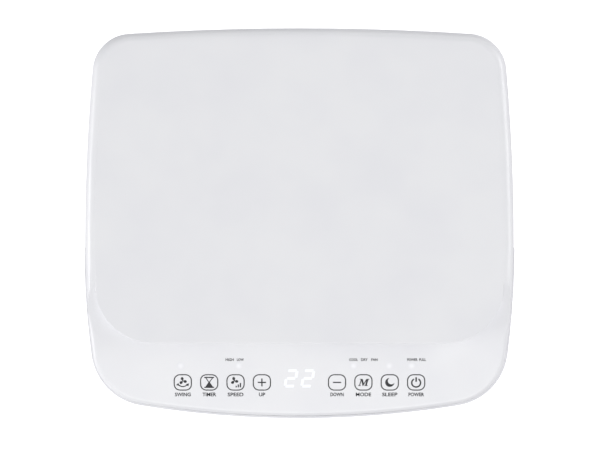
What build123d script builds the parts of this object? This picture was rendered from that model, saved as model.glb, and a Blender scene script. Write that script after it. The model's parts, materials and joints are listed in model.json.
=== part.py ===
from build123d import *
import math
import os

# Portable air conditioner: one node per piece, millimetres, +Z up, front at -Y.
#
# The origin is on the floor under the middle of the casing. Casing, cooling circuit, two blowers,
# air outlet with its louvres, filters, drains, display and casters are separate pieces.

# ---------------------------------------------------------------- driving dimensions

HEIGHT = 700.0  # floor to the top plateau
HALF_WIDTH = 164.0  # outer skin, at its widest place
FRONT_Y = -148.0  # middle of the front face
BACK_LINE_Y = 150.0  # the skin line at the back; the pieces there sit SKIN_STEP inside it
WIDEST_Y = -15.0  # where the two side arcs meet

FRONT_ARC_R = 750.0  # plan radii of the skin line
BACK_ARC_R = 2000.0
FRONT_SIDE_R = 660.0
REAR_SIDE_R = 1550.0
FRONT_CORNER_R = 45.0
BACK_CORNER_R = 31.0

WALL = 2.6  # moulded wall thickness
SKIN_STEP = 2.0  # top cover and rear shell stand this far inside the front shell
LIP = 1.8  # thickness of the front shell's upstanding lip
SEAM_Y = -18.0  # parting plane between front and rear shell
SEAM_GAP = 0.5

PAN_FLOOR_Z = 44.0  # underside of the base pan
SHELL_Z = 58.0  # bottom edge of both shells
SHOULDER_Z = 660.0  # top of the shell walls
LIP_Z = 668.0  # top of the front shell's lip
COVER_Z = 661.0  # bottom edge of the top cover

EDGE_R = 8.0  # roll-off of the top cover's outer edge
DECK_SLOPE = 14.0  # degrees, control deck falls towards the front
DECK_HINGE_Y = -42.0  # where the deck plane meets the plateau height
PLATEAU_FRONT_Y = -90.0
PLATEAU_HALF_WIDTH = 154.0
PLATEAU_CORNER_R = 44.0

KEY_X = (-88.5, -68.5, -48.5, -28.5, 28.5, 48.5, 68.5, 88.5)
KEY_Y = -120.0
LAMP_X = (-90.0, -70.0, -53.0, -46.0, 41.0, 49.0, 57.0, 68.0, 85.0, 93.0)
LAMP_Y = -107.5
DIGITS_Y = -117.0

MOUTH_HALF_WIDTH = 104.0  # air outlet
MOUTH_Z = (600.0, 650.0)
LOUVRE_Z = (612.5, 637.5)
LOUVRE_Y = -124.0
LOUVRE_CHORD = 22.0
LOUVRE_CRANK = 7.0
VANE_X = (-75.0, -25.0, 25.0, 75.0)
VANE_Y = -92.0
VANE_CHORD = 30.0
VANE_CRANK = 10.0
DUCT_BACK_Y = 72.0

EXHAUST_Z = 352.0  # hose outlet
EXHAUST_R = 65.0
EXHAUST_Y = (112.0, 146.0)

FILTER_HALF_WIDTH = 118.5
UPPER_FILTER_Z = (449.5, 638.5)
LOWER_FILTER_Z = (89.5, 262.5)

TRAY_Z = 424.0  # drip tray between the two halves
TRAY_INSET = 5.0
UPPER_DRAIN = (100.0, 434.0)
LOWER_DRAIN = (70.0, 50.6)
SPOUT_END_Y = 145.8
SPOUT_R = 6.5
SPOUT_BORE_R = 4.5
GLAND = (112.0, 72.0)

HANDLE_Y = (-8.0, 80.0)
HANDLE_Z = (540.0, 580.0)
HANDLE_DEPTH = 28.0

CASTER_XY = ((-115.0, -100.0), (115.0, -100.0), (-115.0, 105.0), (115.0, 105.0))
CASTER_NAMES = ("front_left", "front_right", "rear_left", "rear_right")
WHEEL_R = 19.0
WHEEL_WIDTH = 13.6
TREAD_PEAK = ((0.59, 0.4), (1.0, 1.2))  # share of the half width, and how much lower the tread is there
CASTER_TRAIL = 14.0
CASTER_GAP = 0.4  # between the swivel plate and the pan
CASTER_PLATE = 3.0
CASTER_PLATE_R = 14.0
STEM_R = 5.0
AXLE_R = 3.0
CHEEK = 2.4
RIVET = 1.2
RIVET_R = 4.4

UPPER_FAN = (10.0, 514.0)  # X and Z of the axis
UPPER_FAN_R = 64.0
UPPER_FAN_Y = (20.0, 78.0)  # front and rear of its scroll
LOWER_FAN = (-50.0, 190.0)
LOWER_FAN_R = 76.0
LOWER_FAN_Y = (20.0, 84.0)
SHAFT_R = 4.0

COMPRESSOR_XY = (90.0, 25.0)
COMPRESSOR_R = 50.0
SEAM_TAB_Z = (110.0, 285.0, 630.0)
SEAM_TAB_HALF = 9.0
SEAM_TAB_THICKNESS = 3.0
SEAM_TAB_DEPTH = 12.0
SCREW_X = 152.0
SCREW_R = 2.0
SCREW_LENGTH = 12.0
SCREW_HEAD_R = 4.0
SCREW_HEAD = 2.4

PAN_INSET = 8.0
PAN_FLOOR = 3.0  # thickness
PAN_TOP_Z = 92.0
PAN_LEDGES_X = ((-98.0, -60.0), (-40.0, 36.0))  # carry the condenser
RIM_Z = 54.5
SOCKET_R = 9.0
SOCKET_TOP_Z = 64.0
SOCKET_BORE_TOP_Z = 61.5

CUP_CORNER_R = 9.0
CUP_FLANGE = 6.0
CUP_FLANGE_THICKNESS = 2.0
CUP_HOOK = 16.0  # the space the fingers curl up into
CUP_HOOK_RISE = 10.0
CUP_HOOK_DROP = 12.0

PIN_R = 2.0
VANE_PIN_R = 1.5
FRAME_WALL = 3.0
FRAME_INSET = 0.6
FRAME_BACK_Y = -112.0
BLADE_END_X = 99.5
BLADE_BULGE = 1.6
BLADE_BOSS = 3.0  # length of the stop boss at each end
BLADE_BOSS_R = 3.6
LOUVRE_PIN_END = 106.7  # just inside the frame's outer face
LOUVRE_DRIVE_X = 114.7  # the lower blade's pin runs on into the stepper
BAR_X = (-103.3, -100.3)
BAR_PIN_R = 1.5
VANE_Z = (602.0, 643.5)
VANE_THICKNESS = 2.0
VANE_HUB_R = 2.4
VANE_BAR_GAP = 0.8
VANE_BAR_THICKNESS = 2.6
DUCT_WALL = 2.0
STEPPER_R = 12.0
STEPPER_LENGTH = 11.0

SCROLL_GAP = 9.0
SCROLL_REACH = 20.0
SCROLL_MOUTH = 62.0
MOTOR_HOLE_R = 14.0
INLET_RIM = 14.0
WHEEL_END_GAP = 6.0
BLADES = 32
BLADE_DEPTH = 13.0
HUB_R = 11.0
HUB_LENGTH = 22.0
UPPER_MOTOR_R = 40.0
UPPER_MOTOR_LENGTH = 76.0
LOWER_MOTOR_R = 44.0
LOWER_MOTOR_LENGTH = 84.0
MOTOR_STANDOFF = 20.0
MOTOR_FLANGE = 3.0

EXHAUST_BOX_X = (-148.0, 72.0)
EXHAUST_BOX_Z = (284.0, 420.0)
EXHAUST_WALL = 3.0
EXHAUST_FLANGE_Y = (137.0, 140.0)
TRAY_FLOOR = 3.0
TRAY_RIM = 16.0
TRAY_SLOT_X = (126.0, 147.0)  # lets the refrigerant pipes through
TRAY_SLOT_Y = (96.0, 122.0)
FLOAT_XY = (0.0, -85.0)
FLOAT_R = 9.0
FLOAT_HEIGHT = 14.0
FLOAT_STEM_R = 2.5
FLOAT_STEM = 34.0
GLAND_R = 8.0
GLAND_BORE_R = 4.2
GLAND_Y = (138.0, 145.6)

SLOT_PITCH = 7.0
SLOT_HEIGHT = 3.4
SLOT_LENGTH = 67.0
SLOT_COLUMNS = 3
SLOT_COLUMN_PITCH = 71.0
GRILLE_RIM = 6.0
MESH_EDGE = 9.2

EVAPORATOR_X = (-112.0, 112.0)
EVAPORATOR_Y = (94.5, 122.5)
EVAPORATOR_Z = (444.0, 636.0)
CONDENSER_X = (-128.0, 36.0)
CONDENSER_Y = (94.0, 124.0)
CONDENSER_Z = (66.0, 280.0)
COIL_PITCH = 24.0
COIL_TUBE_R = 3.6
COIL_END = 13.0  # from the last fin to the outside of the bends' centre line
FIN_PITCH = 4.0
FIN_THICKNESS = 0.5
COMPRESSOR_Z = 62.0  # underside of the can
COMPRESSOR_HEIGHT = 176.0
TERMINAL_TOP_Z = 248.0
BOTTLE_XY = (80.0, -55.0)
BOTTLE_R = 20.0
BOTTLE_Z = (82.0, 192.0)
FOOT_RING_R = 56.0
FOOT_PAD_R = 11.0
FOOT_PLATE_Z = 58.0
FOOT_PLATE = 4.2
HOT_PIPE_R = 3.2
LIQUID_PIPE_R = 2.4
COLD_PIPE_R = 4.2
PIPE_BEND = 10.0
LIQUID_BEND = 5.0
HOT_CROSSING_Z = 298.0
COLD_CROSSING_Z = 288.0
LIQUID_RISER_X = 132.0
COLD_RISER_X = 140.0

CONTROL_X = (80.0, 148.0)
CONTROL_Y = (-80.0, 84.0)
CONTROL_Z = (312.0, 400.0)
CONTROL_WALL = 2.0
CAPACITOR_R = 17.0
CAPACITOR_HEIGHT = 62.0
BOARD_THICKNESS = 1.6
BOARD_PARTS = (  # place on the control box's floor, then size
    ((8, 52), (18, 15, 16)),
    ((30, 52), (18, 15, 16)),
    ((8, 72), (28, 24, 20)),
    ((42, 74), (12, 20, 12)),
    ((10, 106), (20, 30, 4)),
    ((40, 104), (16, 16, 22)),
    ((40, 128), (18, 22, 8)),
)
DISPLAY_DEPTH = 3.0  # under the deck's face, just clear of the cover's inner side
BOARD_DEPTH = 11.5
DISPLAY_SIZE = (25.4, 19.0)
DISPLAY_BOARD = (208.0, 34.0)
LAMP_R = 1.5
SPRING_R = 4.6
SPRING_BORE_R = 3.8

RUNNING = 0.06  # radial clearance of a turning fit
CLEAR = 0.3  # gap between pieces that only lie beside each other
BITE = 0.1  # how far joined shapes of one moulding run into each other
REACH = 400.0  # longer than the whole object
BACK = (100.0, 200.0)  # Y span of a cut through the back wall


# ---------------------------------------------------------------- helpers

def block(x0, x1, y0, y1, z0, z1):
    """A box between two corners."""
    middle = Pos((x0 + x1) / 2, (y0 + y1) / 2, (z0 + z1) / 2)
    return middle * Box(x1 - x0, y1 - y0, z1 - z0)


def rod_x(radius, x0, x1, y, z):
    return Pos((x0 + x1) / 2, y, z) * Rot(0, 90, 0) * Cylinder(radius, x1 - x0)


def rod_y(radius, x, z, y0, y1):
    return Pos(x, (y0 + y1) / 2, z) * Rot(90, 0, 0) * Cylinder(radius, y1 - y0)


def rod_z(radius, x, y, z0, z1):
    return Pos(x, y, (z0 + z1) / 2) * Cylinder(radius, z1 - z0)


def slab_y(sketch, y0, y1):
    """Extrude a sketch drawn in X and Z from y0 to y1."""
    return Pos(0, y1, 0) * extrude(Plane.XZ * sketch, amount=y1 - y0)


def circle_corner(centre_a, radius_a, centre_b, radius_b):
    """The right-hand point where two circles cross."""
    a = Vector(*centre_a)
    step = Vector(*centre_b) - a
    along = (radius_a**2 - radius_b**2 + step.length**2) / (2 * step.length)
    across = math.sqrt(radius_a**2 - along**2)
    unit = step.normalized()
    foot = a + unit * along
    normal = Vector(-unit.Y, unit.X) * across
    return max((foot + normal, foot - normal), key=lambda point: point.X)


def arc_about(centre, start, end):
    """The short arc from start to end about a centre."""
    middle = Vector(*centre)
    radius = (start - middle).length
    crest = middle + ((start + end) * 0.5 - middle).normalized() * radius
    return ThreePointArc(start, crest, end)


def plan(inset):
    """The casing's outline seen from above, moved inwards by inset."""
    front_centre = (0, FRONT_Y + FRONT_ARC_R)
    back_centre = (0, BACK_LINE_Y - BACK_ARC_R)
    side_front_centre = (HALF_WIDTH - FRONT_SIDE_R, WIDEST_Y)
    side_rear_centre = (HALF_WIDTH - REAR_SIDE_R, WIDEST_Y)
    front_corner = circle_corner(
        side_front_centre, FRONT_SIDE_R - inset, front_centre, FRONT_ARC_R - inset)
    back_corner = circle_corner(
        side_rear_centre, REAR_SIDE_R - inset, back_centre, BACK_ARC_R - inset)
    widest = Vector(HALF_WIDTH - inset, WIDEST_Y)
    right = [
        arc_about(side_front_centre, front_corner, widest),
        arc_about(side_rear_centre, widest, back_corner),
    ]
    left = [mirror(edge, Plane.YZ) for edge in right]
    ends = [
        arc_about(front_centre, Vector(-front_corner.X, front_corner.Y), front_corner),
        arc_about(back_centre, Vector(-back_corner.X, back_corner.Y), back_corner),
    ]
    outline = make_face(right + left + ends)
    front_points = [v for v in outline.vertices() if v.Y < front_corner.Y + 1]
    outline = fillet(front_points, FRONT_CORNER_R - inset)
    back_points = [v for v in outline.vertices() if v.Y > back_corner.Y - 1]
    return fillet(back_points, BACK_CORNER_R - inset)


def prism(inset, z0, z1):
    return Pos(0, 0, z0) * extrude(plan(inset), amount=z1 - z0)


def band(outer, inner, z0, z1):
    """A wall that follows the outline, between two insets."""
    return prism(outer, z0, z1) - prism(inner, z0, z1)


def deck_z(y):
    return HEIGHT + (y - DECK_HINGE_Y) * math.tan(math.radians(DECK_SLOPE))


def under_deck(x, y, depth):
    """A place at a depth under the deck's face, turned to lie along it."""
    tilt = math.radians(DECK_SLOPE)
    down = Vector(0, math.sin(tilt), -math.cos(tilt)) * depth
    return Pos(x, y + down.Y, deck_z(y) + down.Z) * Rot(DECK_SLOPE, 0, 0)


def pipe(points, radius, bend):
    """A tube of straight runs joined by tangent bends; bend is one radius or one for each."""
    path = FilletPolyline(*points, radius=bend)
    return sweep(Plane(origin=path @ 0, z_dir=path % 0) * Circle(radius), path=path)


def save(name, shape):
    export_step(shape, os.path.join("parts", name + ".step"))


def group(pieces):
    return Compound(list(pieces))


# ---------------------------------------------------------------- casing

def cover_block(inset, top_z):
    """The top cover's outer form: plateau with rolled edges and the sloping control deck."""
    drop = HEIGHT - top_z
    form = prism(inset, COVER_Z, top_z)
    top_edges = form.edges().group_by(Axis.Z)[-1]
    form = fillet(top_edges, EDGE_R)
    high = HEIGHT + EDGE_R
    far_y = -REACH / 2
    wedge = Polyline(
        (DECK_HINGE_Y, high), (DECK_HINGE_Y, HEIGHT - drop), (far_y, deck_z(far_y) - drop),
        (far_y, high), close=True)
    above_deck = extrude(Plane.YZ * make_face(wedge), amount=REACH / 2, both=True)
    inward = inset - SKIN_STEP
    depth = REACH / 2
    plateau = Pos(0, PLATEAU_FRONT_Y + inward + depth / 2) * RectangleRounded(
        2 * (PLATEAU_HALF_WIDTH - inward), depth, PLATEAU_CORNER_R - inward)
    above_deck -= extrude(plateau, amount=2 * HEIGHT)
    return form - above_deck


def top_cover():
    inner = cover_block(SKIN_STEP + WALL, HEIGHT - WALL)
    return cover_block(SKIN_STEP, HEIGHT) - inner


def seam_tabs(y0, y1, outer_inset):
    """Small screw tabs inside the seam, three on each side."""
    strip = band(outer_inset, outer_inset + SEAM_TAB_DEPTH, SHELL_Z, SHOULDER_Z)
    solid = Part()
    for z in SEAM_TAB_Z:
        solid += strip & block(-REACH, REACH, y0, y1, z - SEAM_TAB_HALF, z + SEAM_TAB_HALF)
    for z in SEAM_TAB_Z:
        for side in (-1, 1):
            solid -= rod_y(SCREW_R, side * SCREW_X, z, y0 - 1, y1 + 1)
    return solid


def front_shell():
    wall = band(0, WALL, SHELL_Z, SHOULDER_Z)
    wall += band(0, LIP, SHOULDER_Z, LIP_Z)
    wall = wall & block(-REACH, REACH, -REACH, SEAM_Y, 0, HEIGHT)
    edge = FRAME_WALL + CLEAR
    mouth_x = MOUTH_HALF_WIDTH + edge
    wall -= block(-mouth_x, mouth_x, -REACH, 0, MOUTH_Z[0] - edge, MOUTH_Z[1] + edge)
    return wall + seam_tabs(SEAM_Y - SEAM_TAB_THICKNESS, SEAM_Y, WALL - BITE)


def rear_shell():
    inner = SKIN_STEP + WALL
    start = SEAM_Y + SEAM_GAP
    wall = band(SKIN_STEP, inner, SHELL_Z, SHOULDER_Z)
    wall = wall & block(-REACH, REACH, start, REACH, 0, HEIGHT)
    window_x = FILTER_HALF_WIDTH + CLEAR
    for low, high in (UPPER_FILTER_Z, LOWER_FILTER_Z):
        wall -= block(-window_x, window_x, *BACK, low - CLEAR, high + CLEAR)
    wall -= rod_y(EXHAUST_R + EXHAUST_WALL + CLEAR, 0, EXHAUST_Z, *BACK)
    wall -= rod_y(SPOUT_R + CLEAR, *UPPER_DRAIN, *BACK)
    wall -= rod_y(GLAND_R, *GLAND, *BACK)
    inside_x = HALF_WIDTH - HANDLE_DEPTH
    grip = block(inside_x, REACH, *HANDLE_Y, *HANDLE_Z)
    wall -= grip
    wall -= mirror(grip, Plane.YZ)
    return wall + seam_tabs(start, start + SEAM_TAB_THICKNESS, inner - BITE)


def handle_cup():
    """The right-hand grip pocket, set into the rear shell's side from inside."""
    y0, y1 = HANDLE_Y
    z0, z1 = HANDLE_Z
    outer_x = HALF_WIDTH - HANDLE_DEPTH - WALL
    body = block(outer_x, REACH, y0 + CLEAR, y1 - CLEAR, z0 + CLEAR, z1 - CLEAR)
    body = fillet(body.edges().filter_by(Axis.X), CUP_CORNER_R)
    hook_z0 = z1 - CUP_HOOK_DROP
    hook_z1 = z1 + CUP_HOOK_RISE
    hook = block(outer_x, outer_x + CUP_HOOK, y0 + CLEAR, y1 - CLEAR, hook_z0, hook_z1)
    body += fillet(hook.edges().filter_by(Axis.Y), 3)
    body = body & prism(SKIN_STEP, z0 - CUP_HOOK, hook_z1 + CUP_HOOK)
    behind_wall = SKIN_STEP + WALL
    flange = band(behind_wall, behind_wall + CUP_FLANGE_THICKNESS, z0 - CUP_FLANGE, z1 + CUP_FLANGE)
    body += flange & block(outer_x, REACH, y0 - CUP_FLANGE, y1 + CUP_FLANGE, 0, HEIGHT)
    inner_x = outer_x + WALL
    hollow = block(inner_x, REACH, y0 + WALL, y1 - WALL, z0 + WALL, z1 - WALL)
    hollow = fillet(hollow.edges().filter_by(Axis.X), CUP_CORNER_R - 2)
    hook_end = outer_x + CUP_HOOK - WALL + 0.2
    hollow += block(inner_x, hook_end, y0 + WALL, y1 - WALL, hook_z0 - 2, hook_z1 - WALL + 0.1)
    return body - hollow


def base_pan():
    """Floor of the casing: water sump, rim under both shells, caster sockets and lower drain."""
    pan = prism(PAN_INSET, PAN_FLOOR_Z, PAN_TOP_Z)
    pan -= prism(PAN_INSET + WALL, PAN_FLOOR_Z + PAN_FLOOR, PAN_TOP_Z)
    pan += band(SKIN_STEP, PAN_INSET + 1, RIM_Z, SHELL_Z)
    for x, y in CASTER_XY:
        pan += rod_z(SOCKET_R, x, y, PAN_FLOOR_Z, SOCKET_TOP_Z)
        pan -= rod_z(STEM_R + RUNNING, x, y, 0, SOCKET_BORE_TOP_Z)
    x, z = LOWER_DRAIN
    pan -= rod_y(SPOUT_R + 1, x, z, 142, REACH)
    pan += rod_y(SPOUT_R, x, z, 136, SPOUT_END_Y)
    pan -= rod_y(SPOUT_BORE_R, x, z, 120, SPOUT_END_Y + 1)
    x, z = GLAND
    pan -= block(x - 14, x + 14, 120, REACH, SHELL_Z, PAN_TOP_Z)
    for x0, x1 in PAN_LEDGES_X:
        pan += block(x0, x1, *CONDENSER_Y, PAN_FLOOR_Z, CONDENSER_Z[0])
    return pan


# ---------------------------------------------------------------- air outlet

def outlet_frame():
    """The bezel round the mouth; its side walls carry the louvre pins."""
    x = MOUTH_HALF_WIDTH
    z0, z1 = MOUTH_Z
    wall = FRAME_WALL
    frame = block(-x - wall, x + wall, -REACH, FRAME_BACK_Y, z0 - wall, z1 + wall)
    frame -= block(-x, x, -REACH, FRAME_BACK_Y, z0, z1)
    frame = frame & prism(FRAME_INSET, z0 - wall, z1 + wall)
    for z in LOUVRE_Z:
        frame -= rod_x(PIN_R + RUNNING, -REACH, REACH, LOUVRE_Y, z)
    return frame


def louvre_blade(z, drive_x):
    """A horizontal blade with its two pivot pins and one crank pin."""
    half = LOUVRE_CHORD / 2
    lens = make_face([
        ThreePointArc((LOUVRE_Y - half, z), (LOUVRE_Y, z + BLADE_BULGE), (LOUVRE_Y + half, z)),
        ThreePointArc((LOUVRE_Y + half, z), (LOUVRE_Y, z - BLADE_BULGE), (LOUVRE_Y - half, z)),
    ])
    blade = extrude(Plane.YZ * lens, amount=BLADE_END_X, both=True)
    boss = rod_x(BLADE_BOSS_R, BLADE_END_X - BLADE_BOSS, BLADE_END_X, LOUVRE_Y, z)
    blade += boss
    blade += mirror(boss, Plane.YZ)
    blade += rod_x(PIN_R, -LOUVRE_PIN_END, drive_x, LOUVRE_Y, z)
    arm_y = LOUVRE_Y + LOUVRE_CRANK
    blade += rod_x(BLADE_BOSS_R - 1, -BLADE_END_X, BLADE_BOSS - BLADE_END_X, arm_y, z)
    blade += rod_x(BAR_PIN_R, BAR_X[0] - CLEAR, -BLADE_END_X, arm_y, z)
    return blade


def louvre_bar():
    """Joins the blades' crank pins; its holes are slots because it is guided straight."""
    y = LOUVRE_Y + LOUVRE_CRANK
    bar = block(*BAR_X, y - 3.6, y + 3.4, LOUVRE_Z[0] - 5, LOUVRE_Z[1] + 5)
    bar = fillet(bar.edges().filter_by(Axis.X), 2)
    for z in LOUVRE_Z:
        bar -= block(-REACH, 0, y - 2.8, y + 1.9, z - 1.85, z + 1.85)
    return bar


def vane(x):
    """An upright blade that turns about its pins in the duct's floor and roof."""
    low, high = VANE_Z
    half = VANE_CHORD / 2
    side = VANE_THICKNESS / 2
    blade = block(x - side, x + side, VANE_Y - half, VANE_Y + half, low, high)
    blade = fillet(blade.edges().filter_by(Axis.X), 4)
    blade += rod_z(VANE_HUB_R, x, VANE_Y, low, high)
    blade += rod_z(VANE_PIN_R, x, VANE_Y, MOUTH_Z[0] - 2.5, MOUTH_Z[1] + 2.5)
    blade += rod_z(VANE_PIN_R, x, VANE_Y + VANE_CRANK, high - 4, high + 4.5)
    return blade


def vane_bar():
    """Joins the vanes' crank pins above them, with slots like the louvre bar's."""
    y = VANE_Y + VANE_CRANK
    z0 = VANE_Z[1] + VANE_BAR_GAP
    bar = block(VANE_X[0] - 6, VANE_X[-1] + 6, y - 4, y + 3.6, z0, z0 + VANE_BAR_THICKNESS)
    bar = fillet(bar.edges().filter_by(Axis.Z), 2)
    for x in VANE_X:
        bar -= block(x - 1.9, x + 1.9, y - 3.2, y + 1.9, 0, HEIGHT)
    return bar


def outlet_duct():
    """Carries air from the upper scroll to the mouth."""
    x = MOUTH_HALF_WIDTH + FRAME_WALL
    z0 = MOUTH_Z[0] - FRAME_WALL
    z1 = MOUTH_Z[1] + FRAME_WALL
    t = DUCT_WALL
    duct = block(-x, x, FRAME_BACK_Y, DUCT_BACK_Y, z0, z1)
    duct -= block(-x + t, x - t, FRAME_BACK_Y, DUCT_BACK_Y - t, z0 + t, z1 - t)
    low, high = scroll_mouth(UPPER_FAN, UPPER_FAN_R)
    y0, y1 = UPPER_FAN_Y
    duct -= block(low + t, high - t, y0 + t, min(y1, DUCT_BACK_Y) - t, z0, z0 + t)
    for place in VANE_X:
        duct -= rod_z(VANE_PIN_R + RUNNING, place, VANE_Y, 0, HEIGHT)
    return duct


def swing_motor():
    """Small geared stepper whose off-centre socket turns the lower blade."""
    z = LOUVRE_Z[0]
    x0 = MOUTH_HALF_WIDTH + FRAME_WALL + CLEAR
    x1 = x0 + STEPPER_LENGTH
    body = rod_x(STEPPER_R, x0, x1, LOUVRE_Y + 7, z)
    body += block(x0, x0 + 2, LOUVRE_Y, LOUVRE_Y + 14, z - 16, z + 16)
    body += block(x0 + 2, x1, LOUVRE_Y + 17, LOUVRE_Y + 22, z - 7, z + 7)
    return body - rod_x(PIN_R + RUNNING, 0, x1 - 3, LOUVRE_Y, z)


# ---------------------------------------------------------------- blowers

def scroll_mouth(axis, radius):
    """Left and right X of a scroll's upward outlet."""
    low = axis[0] - radius - SCROLL_REACH
    return low, low + SCROLL_MOUTH


def scroll_outline(axis, radius, top_z, trim):
    """Two circles that widen to the left, and the outlet's straight neck."""
    x, z = axis
    low, high = scroll_mouth(axis, radius)
    near = radius + SCROLL_GAP - trim
    shape = Pos(x, z) * Circle(near)
    shape += Pos(x - SCROLL_REACH / 4, z) * Circle(near + SCROLL_REACH / 4)
    shape += Pos(x - SCROLL_REACH + SCROLL_GAP, z) * Circle(near)
    width = high - low - 2 * trim
    shape += Pos((low + high) / 2, (z + top_z) / 2) * Rectangle(width, top_z - z)
    return shape


def scroll(axis, radius, span, top_z):
    """Spiral blower housing: open at the top, a ring inlet at the back, a motor hole in front."""
    y0, y1 = span
    t = DUCT_WALL
    body = slab_y(scroll_outline(axis, radius, top_z, 0), y0, y1)
    body -= slab_y(scroll_outline(axis, radius, top_z + 1, t), y0 + t, y1 - t)
    body -= rod_y(radius - INLET_RIM, *axis, y1 - 2 * t, y1 + 1)
    body -= rod_y(MOTOR_HOLE_R, *axis, y0 - 1, y0 + 2 * t)
    return body


def blower_wheel(axis, radius, span):
    """Forward-curved wheel: back plate in front, open inlet ring behind."""
    y0 = span[0] + WHEEL_END_GAP
    y1 = span[1] - WHEEL_END_GAP
    inner = radius - BLADE_DEPTH
    face = make_face([
        ThreePointArc((inner, 0), (radius - 6, 1.6), (radius - 0.6, 6)),
        Line((radius - 0.6, 6), (radius - 1.6, 6.8)),
        ThreePointArc((radius - 1.6, 6.8), (radius - 7, 2.7), (inner, 1.1)),
        Line((inner, 1.1), (inner, 0)),
    ])
    blades = Sketch() + [Rot(0, 0, 360 * i / BLADES) * face for i in range(BLADES)]
    wheel = extrude(blades, amount=y1 - y0)
    wheel += rod_z(radius, 0, 0, 0, 2)
    ring = Circle(radius) - Circle(inner)
    wheel += Pos(0, 0, y1 - y0 - 2) * extrude(ring, amount=2)
    wheel += rod_z(HUB_R, 0, 0, 0, HUB_LENGTH)
    wheel -= Cylinder(SHAFT_R, REACH)
    return Pos(axis[0], y0, axis[1]) * Rot(-90, 0, 0) * wheel


def fan_motor(axis, radius, span, length):
    """Can motor on a cross bracket in front of its scroll."""
    x, z = axis
    back = span[0]
    front = back - length
    flange_y = (back - MOTOR_STANDOFF, back - MOTOR_STANDOFF + MOTOR_FLANGE)
    ring = radius + 9
    motor = fillet(rod_y(radius, x, z, front, back - 6).edges(), 4)
    motor += rod_y(radius + 5, x, z, *flange_y)
    for turn in (45, 135, 225, 315):
        post_x = x + ring * math.cos(math.radians(turn))
        post_z = z + ring * math.sin(math.radians(turn))
        motor += rod_y(6, post_x, post_z, flange_y[0], back)
        motor += rod_y(9, post_x, post_z, *flange_y)
    return motor - rod_y(SHAFT_R + RUNNING, x, z, front + 8, back)


def fan_shaft(axis, span, length):
    """From inside the motor to the front of the wheel's hub."""
    wheel_y = span[0] + WHEEL_END_GAP
    return rod_y(SHAFT_R, *axis, span[0] - length + 10, wheel_y + HUB_LENGTH - 1)


# ---------------------------------------------------------------- exhaust and trays

def exhaust_duct():
    """Box that turns the lower scroll's air back to the hose outlet."""
    x0, x1 = EXHAUST_BOX_X
    z0, z1 = EXHAUST_BOX_Z
    t = DUCT_WALL
    y0 = LOWER_FAN_Y[0]
    y1 = EXHAUST_Y[0]
    duct = block(x0, x1, y0, y1, z0, z1)
    duct -= block(x0 + t, x1 - t, y0 + t, y1 - t, z0 + t, z1 - t)
    duct -= rod_y(EXHAUST_R - 3, 0, EXHAUST_Z, y1 - 2 * t, y1 + 1)
    low, high = scroll_mouth(LOWER_FAN, LOWER_FAN_R)
    duct -= block(low + t, high - t, y0 + t, LOWER_FAN_Y[1] - t, z0 - 1, z0 + 2 * t)
    return duct


def exhaust_ring():
    """The round outlet a hose adaptor pushes into."""
    outside = EXHAUST_R + EXHAUST_WALL
    ring = rod_y(outside, 0, EXHAUST_Z, *EXHAUST_Y)
    ring += rod_y(outside + EXHAUST_WALL, 0, EXHAUST_Z, *EXHAUST_FLANGE_Y)
    return ring - rod_y(EXHAUST_R, 0, EXHAUST_Z, *BACK)


def drip_tray():
    """Parts the warm lower half from the cold upper half and catches the water."""
    tray = prism(TRAY_INSET, TRAY_Z, TRAY_Z + TRAY_FLOOR)
    tray += band(TRAY_INSET, TRAY_INSET + WALL, TRAY_Z, TRAY_Z + TRAY_RIM)
    tray += rod_y(SPOUT_R, *UPPER_DRAIN, SPOUT_END_Y - 13.8, SPOUT_END_Y)
    tray -= rod_y(SPOUT_BORE_R, *UPPER_DRAIN, SPOUT_END_Y - 25.8, SPOUT_END_Y + 1)
    return tray - block(*TRAY_SLOT_X, *TRAY_SLOT_Y, TRAY_Z - 1, TRAY_Z + TRAY_FLOOR + 1)


def drain_plug(place):
    """Rubber plug pushed into a spout, with a grip head."""
    x, z = place
    plug = rod_y(SPOUT_BORE_R - CLEAR, x, z, SPOUT_END_Y - 7, SPOUT_END_Y + 0.4)
    return plug + rod_y(SPOUT_R - 0.3, x, z, SPOUT_END_Y + 0.3, SPOUT_END_Y + 2.1)


def float_switch():
    """Guide stem on the pan floor, with a stop cap."""
    floor = PAN_FLOOR_Z + PAN_FLOOR
    top = floor + FLOAT_STEM
    stem = rod_z(FLOAT_R, *FLOAT_XY, floor, floor + 3)
    stem += rod_z(FLOAT_STEM_R, *FLOAT_XY, floor, top)
    return stem + rod_z(2 * FLOAT_STEM_R, *FLOAT_XY, top - 2, top + 2)


def water_float():
    low = PAN_FLOOR_Z + 2 * PAN_FLOOR + 0.2
    ring = fillet(rod_z(FLOAT_R, *FLOAT_XY, low, low + FLOAT_HEIGHT).edges(), 1.5)
    return ring - rod_z(FLOAT_STEM_R + CLEAR, *FLOAT_XY, 0, HEIGHT)


def cord_gland():
    """Flanged bush for the mains lead."""
    y0, y1 = GLAND_Y
    bush = rod_y(GLAND_R - 0.1, *GLAND, y0, y1)
    bush += rod_y(GLAND_R + 3, *GLAND, y1, y1 + 2)
    bush += rod_y(GLAND_R + 2, *GLAND, y0, y0 + 2.5)
    return bush - rod_y(GLAND_BORE_R, *GLAND, *BACK)


# ---------------------------------------------------------------- filters

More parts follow.
